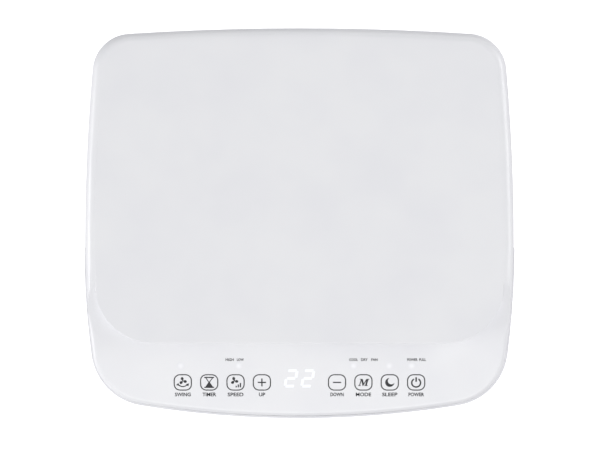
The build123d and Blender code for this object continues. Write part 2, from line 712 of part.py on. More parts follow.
def filter_frame(z_span):
    """Clip-in intake grille with the rim that holds the filter mesh."""
    low, high = z_span
    x = FILTER_HALF_WIDTH
    back = SKIN_STEP + WALL
    panel = band(SKIN_STEP, back, low, high) & block(-x, x, *BACK, low, high)
    rim = band(back, back + GRILLE_RIM, low + 5, high - 5) & block(5 - x, x - 5, *BACK, 0, HEIGHT)
    rim -= block(9 - x, x - 9, *BACK, low + 9, high - 9)
    panel += rim
    rows = int((high - low - 26) / SLOT_PITCH) + 1
    places = GridLocations(SLOT_COLUMN_PITCH, SLOT_PITCH, SLOT_COLUMNS, rows)
    slots = places * SlotOverall(SLOT_LENGTH, SLOT_HEIGHT)
    field = Pos(0, (low + high) / 2) * (Sketch() + slots)
    grip = Pos(0, high - 9) * SlotOverall(40, 7)
    return panel - slab_y(field + grip, *BACK)


def filter_mesh(z_span):
    """Woven net that lies inside the grille's rim."""
    low, high = z_span
    x = FILTER_HALF_WIDTH - MESH_EDGE
    sheet = band(7.4, 8.2, low + MESH_EDGE, high - MESH_EDGE)
    return sheet & block(-x, x, *BACK, 0, HEIGHT)


# ---------------------------------------------------------------- cooling circuit

def coil_rows(z_span):
    count = int((z_span[1] - z_span[0]) / COIL_PITCH)
    first = (z_span[0] + z_span[1] - (count - 1) * COIL_PITCH) / 2
    return [first + i * COIL_PITCH for i in range(count)]


def coil_columns(y_span):
    quarter = (y_span[1] - y_span[0]) / 4
    return (y_span[0] + quarter, y_span[1] - quarter)


def coil_fins(x_span, y_span, z_span):
    """A stack of thin plates on the tubes."""
    y0, y1 = y_span
    z0, z1 = z_span
    plate = Pos((y0 + y1) / 2, (z0 + z1) / 2) * Rectangle(y1 - y0, z1 - z0)
    for y in coil_columns(y_span):
        for z in coil_rows(z_span):
            plate -= Pos(y, z) * Circle(COIL_TUBE_R + 0.1)
    fin = extrude(Plane.YZ * plate, amount=FIN_THICKNESS)
    count = int((x_span[1] - x_span[0]) / FIN_PITCH)
    return group(Pos(x_span[0] + 1 + i * FIN_PITCH, 0, 0) * fin for i in range(count))


def coil_tubes(x_span, y_span, z_span):
    """One serpentine tube: down through the rear column and up through the front one."""
    rows = coil_rows(z_span)
    front, rear = coil_columns(y_span)
    right = x_span[1] + COIL_END
    left = x_span[0] - COIL_END
    down = [(rear, z) for z in reversed(rows)]
    up = [(front, z) for z in rows]
    points = []
    for i, (y, z) in enumerate(down + up):
        start, end = (right, left) if i % 2 == 0 else (left, right)
        points += [(start, y, z), (end, y, z)]
    bends = [COIL_PITCH / 2 - 0.5] * (len(points) - 2)
    crossing = 2 * len(rows) - 2
    bends[crossing] = bends[crossing + 1] = (rear - front) / 2 - 0.5
    return pipe(points, COIL_TUBE_R, bends)


def compressor():
    """Hermetic can on a three-foot plate, with its accumulator bottle strapped beside it."""
    x, y = COMPRESSOR_XY
    top = COMPRESSOR_Z + COMPRESSOR_HEIGHT
    can = rod_z(COMPRESSOR_R, x, y, COMPRESSOR_Z, top)
    can = fillet(can.edges().group_by(Axis.Z)[-1], 22)
    can = fillet(can.edges().group_by(Axis.Z)[0], 10)
    can += rod_z(16, x, y, top - 6, TERMINAL_TOP_Z)
    plate = Pos(x, y) * Circle(COMPRESSOR_R - 4)
    for foot_x, foot_y in foot_places():
        plate += Pos(foot_x, foot_y) * Circle(FOOT_PAD_R)
    can += Pos(0, 0, FOOT_PLATE_Z) * extrude(plate, amount=FOOT_PLATE)
    for foot_x, foot_y in foot_places():
        can -= rod_z(5, foot_x, foot_y, FOOT_PLATE_Z - 1, FOOT_PLATE_Z + 6)
    bottle_x, bottle_y = BOTTLE_XY
    can += fillet(rod_z(BOTTLE_R, bottle_x, bottle_y, *BOTTLE_Z).edges(), 9)
    strap_z = BOTTLE_Z[1] - 34
    return can + block(bottle_x - 4, bottle_x + 14, bottle_y, y, strap_z, strap_z + 8)


def foot_places():
    x, y = COMPRESSOR_XY
    turns = (math.radians(a) for a in (30, 150, 270))
    return [(x + FOOT_RING_R * math.cos(a), y + FOOT_RING_R * math.sin(a)) for a in turns]


def compressor_feet():
    """Rubber grommets under the feet."""
    feet = []
    low = PAN_FLOOR_Z + PAN_FLOOR
    for x, y in foot_places():
        foot = rod_z(10, x, y, low, low + 11)
        foot += rod_z(4.9, x, y, low, low + 18)
        foot += rod_z(6.5, x, y, low + 15.4, low + 18)
        feet.append(foot)
    return group(feet)


def refrigerant_pipes():
    """Discharge, liquid and suction lines."""
    x, y = COMPRESSOR_XY
    liquid_y, hot_y = coil_columns(CONDENSER_Y)
    cold_y = coil_columns(EVAPORATOR_Y)[1]
    warm_z = coil_rows(CONDENSER_Z)[-1]
    cold_z = coil_rows(EVAPORATOR_Z)[-1]
    start = CONDENSER_X[1] + COIL_END
    entry = EVAPORATOR_X[1] + COIL_END
    bottle_x, bottle_y = BOTTLE_XY
    hot = [
        (x, y, TERMINAL_TOP_Z),
        (x, y, HOT_CROSSING_Z),
        (x, hot_y, HOT_CROSSING_Z),
        (x, hot_y, warm_z),
        (start, hot_y, warm_z),
    ]
    liquid = [
        (start, liquid_y, warm_z),
        (LIQUID_RISER_X, liquid_y, warm_z),
        (LIQUID_RISER_X, liquid_y, cold_z),
        (entry, liquid_y, cold_z),
    ]
    suction = [
        (entry, cold_y, cold_z),
        (COLD_RISER_X, cold_y, cold_z),
        (COLD_RISER_X, cold_y, COLD_CROSSING_Z),
        (COLD_RISER_X, bottle_y, COLD_CROSSING_Z),
        (bottle_x, bottle_y, COLD_CROSSING_Z),
        (bottle_x, bottle_y, BOTTLE_Z[1]),
    ]
    return group([
        pipe(hot, HOT_PIPE_R, PIPE_BEND),
        pipe(liquid, LIQUID_PIPE_R, LIQUID_BEND),
        pipe(suction, COLD_PIPE_R, PIPE_BEND),
    ])


# ---------------------------------------------------------------- electrics

def control_box():
    """Sheet-metal tray, open on top, with one mounting foot along its side."""
    x0, x1 = CONTROL_X
    y0, y1 = CONTROL_Y
    z0, z1 = CONTROL_Z
    t = CONTROL_WALL
    box = block(x0, x1, y0, y1, z0, z1)
    box = fillet(box.edges().filter_by(Axis.Z), 4)
    box -= block(x0 + t, x1 - t, y0 + t, y1 - t, z0 + t, z1)
    return box + block(x0 - 6, x0 + t, y0, y1, z0, z0 + t)


def main_board():
    x0, x1 = CONTROL_X
    y0, y1 = CONTROL_Y
    z = CONTROL_Z[0] + 10
    face = z + BOARD_THICKNESS
    board = block(x0 + 4, x1 - 4, y0 + 46, y1 - 5, z, face)
    for place, size in BOARD_PARTS:
        x = x0 + place[0]
        y = y0 + place[1]
        board += block(x, x + size[0], y, y + size[1], face, face + size[2])
    return board


def run_capacitor():
    x = (CONTROL_X[0] + CONTROL_X[1]) / 2
    y = CONTROL_Y[0] + 24
    z = CONTROL_Z[0] + CONTROL_WALL
    top = z + CAPACITOR_HEIGHT
    can = fillet(rod_z(CAPACITOR_R, x, y, z, top).edges(), 2)
    for tab_x in (x - 6, x + 6):
        can += block(tab_x - 0.5, tab_x + 0.5, y - 3, y + 3, top - 2, top + 10)
    return can


def display_board():
    """Circuit board that lies along the deck, with its plug socket underneath."""
    middle_y = (KEY_Y + LAMP_Y) / 2 - 1
    middle_depth = BOARD_DEPTH + BOARD_THICKNESS / 2
    board = under_deck(0, middle_y, middle_depth) * Box(*DISPLAY_BOARD, BOARD_THICKNESS)
    return board + under_deck(0, middle_y, middle_depth + 3.8) * Box(24, 10, 6.2)


def deck_part(x, y, shape):
    """Stand a piece between the display board and the cover."""
    return under_deck(x, y, (DISPLAY_DEPTH + BOARD_DEPTH) / 2) * shape


def digit_display():
    return deck_part(0, DIGITS_Y, Box(*DISPLAY_SIZE, BOARD_DEPTH - DISPLAY_DEPTH))


def indicator_lamps():
    tall = BOARD_DEPTH - DISPLAY_DEPTH
    return group(deck_part(x, LAMP_Y, Cylinder(LAMP_R, tall)) for x in LAMP_X)


def touch_springs():
    """A sprung contact tube under each touch key."""
    tall = BOARD_DEPTH - DISPLAY_DEPTH
    tube = Cylinder(SPRING_R, tall) - Cylinder(SPRING_BORE_R, tall)
    return group(deck_part(x, KEY_Y, tube) for x in KEY_X)


# ---------------------------------------------------------------- casters and screws

def caster_fork(x, y):
    """Swivelling fork with its stem and the axle riveted through it."""
    plate_top = PAN_FLOOR_Z - CASTER_GAP
    cheek_top = plate_top - CASTER_PLATE
    stem = rod_z(CASTER_PLATE_R, x, y, cheek_top, plate_top)
    stem += rod_z(STEM_R, x, y, cheek_top, SOCKET_BORE_TOP_Z - 1)
    axle_y = y + CASTER_TRAIL
    cheek = make_face(Polyline(
        (y - 9, cheek_top + 0.5), (y + 16, cheek_top + 0.5), (axle_y + 8, WHEEL_R + 3),
        (axle_y + 5, WHEEL_R - 7), (axle_y - 5, WHEEL_R - 7), (axle_y - 11, WHEEL_R + 2),
        close=True))
    gap = WHEEL_WIDTH / 2 + 0.6
    outside = gap + CHEEK
    for low in (x - outside, x + gap):
        stem += Pos(low, 0, 0) * extrude(Plane.YZ * cheek, amount=CHEEK)
    stem -= rod_x(AXLE_R, x - WHEEL_WIDTH, x + WHEEL_WIDTH, axle_y, WHEEL_R)
    axle = rod_x(AXLE_R, x - outside, x + outside, axle_y, WHEEL_R)
    axle += rod_x(RIVET_R, x + outside, x + outside + RIVET, axle_y, WHEEL_R)
    axle += rod_x(RIVET_R, x - outside - RIVET, x - outside, axle_y, WHEEL_R)
    return group([stem, axle])


def caster_wheel(x, y):
    """Wheel with a peaked tread, a recessed web on both sides and a hub."""
    half = WHEEL_WIDTH / 2
    axle_y = y + CASTER_TRAIL
    right = [(share * half, WHEEL_R - drop) for share, drop in TREAD_PEAK]
    left = [(-across, height) for across, height in reversed(right)]
    outline = Polyline((-half, 0), *left, (0, WHEEL_R), *right, (half, 0), close=True)
    profile = make_face(outline)
    seam_down = Rot(X=-90)
    wheel = Pos(x, axle_y, WHEEL_R) * seam_down * revolve(profile, Axis.X)
    for low in (x - half - 1, x + half - 2):
        recess = rod_x(WHEEL_R - 5, low, low + 3, axle_y, WHEEL_R)
        recess -= rod_x(2 * AXLE_R, low, low + 3, axle_y, WHEEL_R)
        wheel -= recess
    return wheel - rod_x(AXLE_R + RUNNING, x - half, x + half, axle_y, WHEEL_R)


def case_screws():
    """Six identical screws through the seam tabs."""
    screws = []
    head_y = SEAM_Y + SEAM_GAP + SEAM_TAB_THICKNESS
    for z in SEAM_TAB_Z:
        for side in (-1, 1):
            x = side * SCREW_X
            screw = rod_y(SCREW_R - 0.05, x, z, SEAM_Y - SCREW_LENGTH, head_y + 0.5)
            screw += rod_y(SCREW_HEAD_R, x, z, head_y, head_y + SCREW_HEAD)
            screws.append(screw)
    return group(screws)


# ---------------------------------------------------------------- build

def build():
    os.makedirs("parts", exist_ok=True)
    save("top_cover", top_cover())
    save("front_shell", front_shell())
    save("rear_shell", rear_shell())
    save("base_pan", base_pan())
    cup = handle_cup()
    save("right_handle_cup", cup)
    save("left_handle_cup", mirror(cup, Plane.YZ))
    save("case_screws", case_screws())

    save("outlet_frame", outlet_frame())
    save("outlet_duct", outlet_duct())
    save("lower_louvre", louvre_blade(LOUVRE_Z[0], LOUVRE_DRIVE_X))
    save("upper_louvre", louvre_blade(LOUVRE_Z[1], LOUVRE_PIN_END))
    save("louvre_link", louvre_bar())
    save("swing_motor", swing_motor())
    for number, x in enumerate(VANE_X, start=1):
        save(f"vane_{number}", vane(x))
    save("vane_link", vane_bar())

    upper_top = MOUTH_Z[0] - FRAME_WALL
    lower_top = EXHAUST_BOX_Z[0]
    save("upper_scroll", scroll(UPPER_FAN, UPPER_FAN_R, UPPER_FAN_Y, upper_top))
    save("lower_scroll", scroll(LOWER_FAN, LOWER_FAN_R, LOWER_FAN_Y, lower_top))
    fans = (
        ("upper", UPPER_FAN, UPPER_FAN_R, UPPER_FAN_Y, UPPER_MOTOR_R, UPPER_MOTOR_LENGTH),
        ("lower", LOWER_FAN, LOWER_FAN_R, LOWER_FAN_Y, LOWER_MOTOR_R, LOWER_MOTOR_LENGTH),
    )
    for name, axis, radius, span, motor_r, length in fans:
        save(f"{name}_blower_wheel", blower_wheel(axis, radius, span))
        save(f"{name}_fan_motor", fan_motor(axis, motor_r, span, length))
        save(f"{name}_fan_shaft", fan_shaft(axis, span, length))

    save("exhaust_duct", exhaust_duct())
    save("exhaust_ring", exhaust_ring())
    save("drip_tray", drip_tray())
    save("upper_drain_plug", drain_plug(UPPER_DRAIN))
    save("lower_drain_plug", drain_plug(LOWER_DRAIN))
    save("float_switch", float_switch())
    save("water_float", water_float())
    save("cord_gland", cord_gland())

    for name, z_span in (("upper", UPPER_FILTER_Z), ("lower", LOWER_FILTER_Z)):
        save(f"{name}_intake_grille", filter_frame(z_span))
        save(f"{name}_filter_mesh", filter_mesh(z_span))

    coils = (
        ("evaporator", EVAPORATOR_X, EVAPORATOR_Y, EVAPORATOR_Z),
        ("condenser", CONDENSER_X, CONDENSER_Y, CONDENSER_Z),
    )
    for name, x_span, y_span, z_span in coils:
        save(f"{name}_fins", coil_fins(x_span, y_span, z_span))
        save(f"{name}_tubes", coil_tubes(x_span, y_span, z_span))
    save("compressor", compressor())
    save("compressor_feet", compressor_feet())
    save("refrigerant_pipes", refrigerant_pipes())

    save("control_box", control_box())
    save("main_board", main_board())
    save("run_capacitor", run_capacitor())
    save("display_board", display_board())
    save("digit_display", digit_display())
    save("indicator_lamps", indicator_lamps())
    save("touch_springs", touch_springs())

    for name, (x, y) in zip(CASTER_NAMES, CASTER_XY):
        save(f"{name}_caster_fork", caster_fork(x, y))
        save(f"{name}_caster_wheel", caster_wheel(x, y))


build()
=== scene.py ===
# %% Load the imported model
import json
import math

import bpy
from mathutils import Matrix, Vector


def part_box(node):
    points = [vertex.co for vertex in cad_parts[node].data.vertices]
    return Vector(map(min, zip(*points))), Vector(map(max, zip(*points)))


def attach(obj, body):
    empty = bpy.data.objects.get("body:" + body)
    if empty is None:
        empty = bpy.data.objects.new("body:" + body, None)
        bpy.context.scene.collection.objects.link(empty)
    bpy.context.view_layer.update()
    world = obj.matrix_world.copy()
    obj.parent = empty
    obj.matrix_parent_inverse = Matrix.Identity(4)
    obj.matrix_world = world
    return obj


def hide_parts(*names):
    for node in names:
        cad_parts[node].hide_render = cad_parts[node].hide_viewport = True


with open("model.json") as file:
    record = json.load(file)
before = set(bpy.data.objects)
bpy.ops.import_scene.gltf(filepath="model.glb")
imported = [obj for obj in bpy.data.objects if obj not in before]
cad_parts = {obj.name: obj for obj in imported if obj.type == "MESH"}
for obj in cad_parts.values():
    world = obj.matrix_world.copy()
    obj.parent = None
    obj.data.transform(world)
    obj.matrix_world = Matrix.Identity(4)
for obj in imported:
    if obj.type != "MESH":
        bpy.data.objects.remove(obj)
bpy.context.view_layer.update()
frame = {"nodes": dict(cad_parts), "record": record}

# %% [markdown]
# # A portable air conditioner
#
# The engineering model gives every piece its size, place and joint. This lesson gives it its looks:
# crisp moulded edges, the printing and lights of the control deck, real finishes, and a plain studio.
# Everything is in metres. The front faces -Y, and the floor is at zero.
#
# ## Small helpers
#
# Blender's operators act on whatever is selected, and the loaded model starts selected. So each step
# first clears the selection and then picks its own object. A finished piece keeps its place in its mesh
# and has its object at the origin, which keeps patterns on Object coordinates where they belong.

# %% Helpers for picking and finishing an object
MM = 0.001


def pick(piece):
    """Make one object the only selected and active one."""
    bpy.ops.object.select_all(action="DESELECT")
    piece.select_set(True)
    bpy.context.view_layer.objects.active = piece
    return piece


def settle(piece, place=None):
    """Move a piece's place into its mesh."""
    pick(piece)
    bpy.ops.object.transform_apply(location=True, rotation=True, scale=True)
    if place is not None:
        piece.data.transform(place)
    return piece


def apply_modifier(piece, kind, **settings):
    """Add a modifier with its settings and apply it."""
    pick(piece)
    step = piece.modifiers.new(kind.lower(), kind)
    for name, value in settings.items():
        setattr(step, name, value)
    bpy.ops.object.modifier_apply(modifier=step.name)


def edit_all(piece):
    """Open a piece in edit mode with everything selected."""
    pick(piece)
    bpy.ops.object.mode_set(mode="EDIT")
    bpy.ops.mesh.select_all(action="SELECT")


def close_edit():
    bpy.ops.object.mode_set(mode="OBJECT")


def select_faces(piece, wanted):
    """In object mode, select just the faces whose centre and normal pass a test."""
    for vertex in piece.data.vertices:
        vertex.select = False
    for edge in piece.data.edges:
        edge.select = False
    for face in piece.data.polygons:
        face.select = wanted(face.center, face.normal)


def join(pieces, name):
    """Join several objects into one mesh."""
    pick(pieces[0])
    for piece in pieces[1:]:
        piece.select_set(True)
    if len(pieces) > 1:
        bpy.ops.object.join()
    pieces[0].name = name
    pieces[0].data.name = name
    return pieces[0]


# %% [markdown]
# ## The control deck's plane
#
# The deck falls 14 degrees towards the front from the line where it meets the plateau's height.
# Printing, digits and lamps are drawn flat at the origin and then laid on that plane by one matrix, so
# each of them needs only its X and Y.

# %% Where the deck lies
DECK_SLOPE = math.radians(14)
DECK_HINGE_Y = -42 * MM
PLATEAU_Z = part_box("top_cover")[1][2]
INK = 0.05 * MM


def deck_place(x, y, lift=INK):
    """The matrix that lays something flat on the deck at x and y."""
    z = PLATEAU_Z + (y - DECK_HINGE_Y) * math.tan(DECK_SLOPE)
    normal = Vector((0, -math.sin(DECK_SLOPE), math.cos(DECK_SLOPE)))
    spot = Vector((x, y, z)) + normal * lift
    return Matrix.Translation(spot) @ Matrix.Rotation(DECK_SLOPE, 4, "X")


print("deck height at the keys:", round(deck_place(0, -0.12).translation.z, 4))

# %% [markdown]
# ## Colours and nodes
#
# Colours are chosen as sRGB hex values, as on a paint card, and one function turns them to the linear
# values that a shader works in. One more function adds any node: it sets its properties, fills its
# inputs with numbers, and links an input wherever it is given another node's output.

# %% Colour and node helpers


def srgb(code, alpha=1.0):
    """Linear colour from a hex code such as #E4E5E9."""
    values = [int(code[i:i + 2], 16) / 255 for i in (1, 3, 5)]
    linear = [v / 12.92 if v <= 0.04045 else ((v + 0.055) / 1.055) ** 2.4 for v in values]
    return (*linear, alpha)


def add_node(tree, kind, settings=None, inputs=None):
    """Add a node; an input may be a number, a colour or another node's output."""
    made = tree.nodes.new(kind)
    for name, value in (settings or {}).items():
        setattr(made, name, value)
    for name, value in (inputs or {}).items():
        if isinstance(value, bpy.types.NodeSocket):
            tree.links.new(value, made.inputs[name])
        else:
            made.inputs[name].default_value = value
    return made


def new_finish(name, code, roughness, metallic=0.0, **more):
    """A material with its shader set; returns the material, its tree and the shader."""
    finish = bpy.data.materials.new(name)
    finish.use_nodes = True
    tree = finish.node_tree
    shader = tree.nodes["Principled BSDF"]
    shader.inputs["Base Color"].default_value = srgb(code)
    shader.inputs["Roughness"].default_value = roughness
    shader.inputs["Metallic"].default_value = metallic
    for key, value in more.items():
        shader.inputs[key.replace("_", " ")].default_value = value
    return finish, tree, shader


def grain(tree, size_mm, detail=2.0):
    """A noise on Object coordinates whose lumps are about size_mm across."""
    where = add_node(tree, "ShaderNodeTexCoord")
    return add_node(tree, "ShaderNodeTexNoise", None, {
        "Vector": where.outputs["Object"], "Scale": 1 / (size_mm * MM), "Detail": detail})


def rough_from(tree, shader, texture, low, high):
    """Let a texture move the roughness between two values."""
    spread = add_node(tree, "ShaderNodeMapRange", None, {
        "Value": texture.outputs["Fac"], "From Min": 0.3, "From Max": 0.7,
        "To Min": low, "To Max": high})
    tree.links.new(spread.outputs["Result"], shader.inputs["Roughness"])


def tint_from(tree, shader, texture, dark, light):
    """Let a texture move the colour between two near tones."""
    ramp = add_node(tree, "ShaderNodeValToRGB", None, {"Fac": texture.outputs["Fac"]})
    ramp.color_ramp.elements[0].position = 0.35
    ramp.color_ramp.elements[0].color = srgb(dark)
    ramp.color_ramp.elements[1].position = 0.65
    ramp.color_ramp.elements[1].color = srgb(light)
    tree.links.new(ramp.outputs["Color"], shader.inputs["Base Color"])


def bump_from(tree, shader, texture, height_mm, strength=1.0):
    """Let a texture raise the surface by height_mm."""
    bump = add_node(tree, "ShaderNodeBump", None, {
        "Height": texture.outputs["Fac"], "Distance": height_mm * MM, "Strength": strength})
    tree.links.new(bump.outputs["Normal"], shader.inputs["Normal"])


# %% [markdown]
# ## Plastics
#
# The casing is ABS, moulded in a polished tool and left a little satin, so lights show on it as soft
# patches. Its slow waves come from the plastic shrinking as it cools, and are drawn a hundredth of a
# millimetre high. Inner ducts are polystyrene and polypropylene from sparked tools, whose 0.4 mm grain
# is drawn at 1.2 mm, because the true one is too fine to show.

# %% White ABS of the casing
shell_abs, tree, shader = new_finish("white_abs_satin_moulded", "#E6E6E9", 0.34, IOR=1.54)
waves = grain(tree, 45)
tint_from(tree, shader, waves, "#E5E5E8", "#E8E8EA")
rough_from(tree, shader, grain(tree, 9), 0.31, 0.38)
bump_from(tree, shader, grain(tree, 28, 1.0), 0.012)

# %% White ABS of the blades and vanes, a little glossier
blade_abs, tree, shader = new_finish("white_abs_gloss_blades", "#E6E7EB", 0.25, IOR=1.54)
rough_from(tree, shader, grain(tree, 7), 0.22, 0.30)

# %% Grey polypropylene of the base pan, trays and hose outlet
base_pp, tree, shader = new_finish("grey_polypropylene_moulded", "#C9CBD0", 0.48, IOR=1.49)
tint_from(tree, shader, grain(tree, 30), "#C6C8CD", "#CDCFD3")
bump_from(tree, shader, grain(tree, 1.2), 0.02, 0.6)

# %% Dark polystyrene of the ducts and scrolls
duct_ps, tree, shader = new_finish("grey_polystyrene_sparked", "#7F8388", 0.62, IOR=1.59)
tint_from(tree, shader, grain(tree, 25), "#797D82", "#858A8F")
bump_from(tree, shader, grain(tree, 1.2), 0.03)

# %% Black glass-filled polypropylene of the blower wheels, with its faint fibre bloom
blower_pp, tree, shader = new_finish("black_glass_filled_polypropylene", "#26272A", 0.55, IOR=1.49)
tint_from(tree, shader, grain(tree, 4), "#222326", "#2D2E31")

# %% Natural acetal of links and float, slightly waxy
acetal, tree, shader = new_finish("natural_acetal", "#E2E0D8", 0.38, IOR=1.48)
shader.inputs["Subsurface Weight"].default_value = 0.1
shader.inputs["Subsurface Scale"].default_value = 2 * MM
rough_from(tree, shader, grain(tree, 5), 0.34, 0.44)

# %% Black nylon of the caster forks
caster_nylon, tree, shader = new_finish("black_nylon_moulded", "#2A2B2D", 0.5, IOR=1.53)
tint_from(tree, shader, grain(tree, 8), "#27282A", "#303134")
bump_from(tree, shader, grain(tree, 1.2), 0.02)

# %% [markdown]
# ## Rubber, net and board
#
# Rubber is matt with a dusty bloom. The filter is a woven nylon net: two square waves on Object
# coordinates make its threads, 1.6 mm apart, about twice the real spacing so that they show between the
# bars. A circuit board is green lacquer on glass cloth; the parts that stand on it are told from it by
# their height, so one mesh carries both colours.

# %% Rubbers
wheel_rubber, tree, shader = new_finish("grey_rubber_tread", "#45464A", 0.7, IOR=1.52)
tint_from(tree, shader, grain(tree, 6), "#3F4044", "#4E4F53")
bump_from(tree, shader, grain(tree, 1.5), 0.04)
foot_rubber, tree, shader = new_finish("black_rubber_moulded", "#2B2B2C", 0.75, IOR=1.52)
tint_from(tree, shader, grain(tree, 5), "#272728", "#323233")
plug_rubber, tree, shader = new_finish("grey_rubber_plugs", "#8E9196", 0.66, IOR=1.52)
tint_from(tree, shader, grain(tree, 4), "#888B90", "#969A9F")

# %% Woven nylon net of the filters
NET_SPACING_MM = 1.6
net_nylon, tree, shader = new_finish("woven_nylon_net", "#4A4D52", 0.6, IOR=1.53)
where = add_node(tree, "ShaderNodeTexCoord")
threads = []
for direction in ("X", "Z"):
    threads.append(add_node(tree, "ShaderNodeTexWave", {"bands_direction": direction}, {
        "Vector": where.outputs["Object"], "Scale": 0.314 / (NET_SPACING_MM * MM),
        "Distortion": 0.0}))
crossing = add_node(tree, "ShaderNodeMath", {"operation": "MAXIMUM"}, {
    0: threads[0].outputs["Fac"], 1: threads[1].outputs["Fac"]})
weave = add_node(tree, "ShaderNodeValToRGB", None, {"Fac": crossing.outputs["Value"]})
weave.color_ramp.elements[0].position = 0.6
weave.color_ramp.elements[0].color = srgb("#1B1C1F")
weave.color_ramp.elements[1].position = 0.85
weave.color_ramp.elements[1].color = srgb("#676B71")
tree.links.new(weave.outputs["Color"], shader.inputs["Base Color"])
relief = add_node(tree, "ShaderNodeBump", None, {
    "Height": crossing.outputs["Value"], "Distance": 0.3 * MM})
tree.links.new(relief.outputs["Normal"], shader.inputs["Normal"])

# %% Green lacquered board with dark parts standing on it
def board_finish(name, split_z):
    """Green up to a height, and black epoxy above it."""
    finish, tree, shader = new_finish(name, "#1F6B3A", 0.35, IOR=1.5)
    where = add_node(tree, "ShaderNodeTexCoord")
    axes = add_node(tree, "ShaderNodeSeparateXYZ", None, {"Vector": where.outputs["Object"]})
    above = add_node(tree, "ShaderNodeMath", {"operation": "GREATER_THAN"}, {
        0: axes.outputs["Z"], 1: split_z})
    blocks = add_node(tree, "ShaderNodeTexVoronoi", None, {
        "Vector": where.outputs["Object"], "Scale": 1 / (16 * MM)})
    parts = add_node(tree, "ShaderNodeValToRGB", None, {"Fac": blocks.outputs["Color"]})
    parts.color_ramp.interpolation = "CONSTANT"
    parts.color_ramp.elements[0].color = srgb("#242527")
    parts.color_ramp.elements[1].position = 0.55
    parts.color_ramp.elements[1].color = srgb("#3A5A8C")
    mixed = add_node(tree, "ShaderNodeMix", {"data_type": "RGBA"}, {
        "Factor": above.outputs["Value"]})
    mixed.inputs[6].default_value = srgb("#1F6B3A")
    tree.links.new(parts.outputs["Color"], mixed.inputs[7])
    tree.links.new(mixed.outputs[2], shader.inputs["Base Color"])
    return finish


main_board_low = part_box("main_board")[0][2]
board_lacquer = board_finish("green_lacquered_board", main_board_low + 1.7 * MM)

# %% [markdown]
# ## Metals
#
# Metals keep the default IOR and differ in tint, roughness and direction. Galvanised sheet shows its
# crystal flowers, about 9 mm across. Fins are rolled foil, copper tubes are drawn and slightly dulled,
# and the compressor is sprayed with a thick black enamel that pools into orange peel.

# %% Galvanised sheet
galvanised, tree, shader = new_finish("galvanised_sheet", "#B4B8BC", 0.38, 1.0)
where = add_node(tree, "ShaderNodeTexCoord")
flowers = add_node(tree, "ShaderNodeTexVoronoi", None, {
    "Vector": where.outputs["Object"], "Scale": 1 / (9 * MM)})
tone = add_node(tree, "ShaderNodeValToRGB", None, {"Fac": flowers.outputs["Color"]})
tone.color_ramp.elements[0].color = srgb("#A3A8AD")
tone.color_ramp.elements[1].color = srgb("#C6CACD")
tree.links.new(tone.outputs["Color"], shader.inputs["Base Color"])

# %% Steel, zinc, copper, aluminium and enamels
ground_steel, tree, shader = new_finish("ground_steel_shaft", "#B9BBBE", 0.25, 1.0)
rough_from(tree, shader, grain(tree, 2), 0.2, 0.34)
zinc_steel, tree, shader = new_finish("zinc_plated_steel", "#C3C6CC", 0.3, 1.0)
rough_from(tree, shader, grain(tree, 2), 0.24, 0.4)
plated_can, tree, shader = new_finish("nickel_plated_can", "#C4C2BC", 0.28, 1.0)
rough_from(tree, shader, grain(tree, 4), 0.22, 0.36)
drawn_copper, tree, shader = new_finish("drawn_copper_tube", "#C77B55", 0.3, 1.0)
tint_from(tree, shader, grain(tree, 12), "#B06A48", "#D08A64")
rough_from(tree, shader, grain(tree, 6), 0.24, 0.42)
fin_foil, tree, shader = new_finish("rolled_aluminium_foil", "#CDD1D5", 0.34, 1.0)
rough_from(tree, shader, grain(tree, 3), 0.28, 0.42)
drawn_can, tree, shader = new_finish("drawn_aluminium_can", "#BFC2C6", 0.32, 1.0)
rough_from(tree, shader, grain(tree, 3), 0.26, 0.4)
motor_paint, tree, shader = new_finish("grey_painted_steel", "#6B6F75", 0.42, IOR=1.5)
bump_from(tree, shader, grain(tree, 2), 0.02)
black_enamel, tree, shader = new_finish("black_enamel_sprayed", "#17181A", 0.24, IOR=1.52)
bump_from(tree, shader, grain(tree, 3), 0.05)

# %% Clear and light-grey epoxies of the lamps and the display
lamp_epoxy, tree, shader = new_finish("clear_epoxy_lamps", "#EEF0F3", 0.08, IOR=1.55)
shader.inputs["Transmission Weight"].default_value = 0.6
rough_from(tree, shader, grain(tree, 1.5), 0.05, 0.12)
display_epoxy, tree, shader = new_finish("light_grey_display_face", "#D3D5D8", 0.3, IOR=1.55)
rough_from(tree, shader, grain(tree, 2), 0.26, 0.34)

# %% [markdown]
# ## Dressing the engineering model
#
# Each record slot gets one finish. Pieces that stay as they are take it straight away. The moulded
# pieces that anyone can see are copied first: the copy's loose triangles are merged, flat patches are
# dissolved into single faces, and a narrow bevel rounds the edges that a real tool would leave slightly
# soft, because it is the light on those edges that tells the eye how thick and how well made they are.

# %% One finish for each slot
FINISH_OF_SLOT = {
    "shell_white": shell_abs,
    "louvre_white": blade_abs,
    "base_grey": base_pp,
    "duct_grey": duct_ps,
    "blower_black": blower_pp,
    "link_acetal": acetal,
    "motor_steel": motor_paint,
    "shaft_steel": ground_steel,
    "screw_zinc": zinc_steel,
    "compressor_black": black_enamel,
    "foot_rubber": foot_rubber,
    "plug_rubber": plug_rubber,
    "tube_copper": drawn_copper,
    "fin_aluminium": fin_foil,
    "galvanised": galvanised,
    "board_green": board_lacquer,
    "capacitor_can": drawn_can,
    "display_lens": display_epoxy,
    "lamp_clear": lamp_epoxy,
    "mesh_nylon": net_nylon,
    "motor_case": plated_can,
    "caster_black": caster_nylon,
    "wheel_grey": wheel_rubber,
}
SLOT_OF_NODE = {part["node"]: part["material_slot"] for part in frame["record"]["subparts"]}
BODY_OF_NODE = {
    node: body
    for body, nodes in frame["record"]["behaviour"]["bodies"].items()
    for node in nodes
}


def dress(piece, finish):
    """Give a piece one finish."""
    piece.data.materials.clear()
    piece.data.materials.append(finish)
    return piece


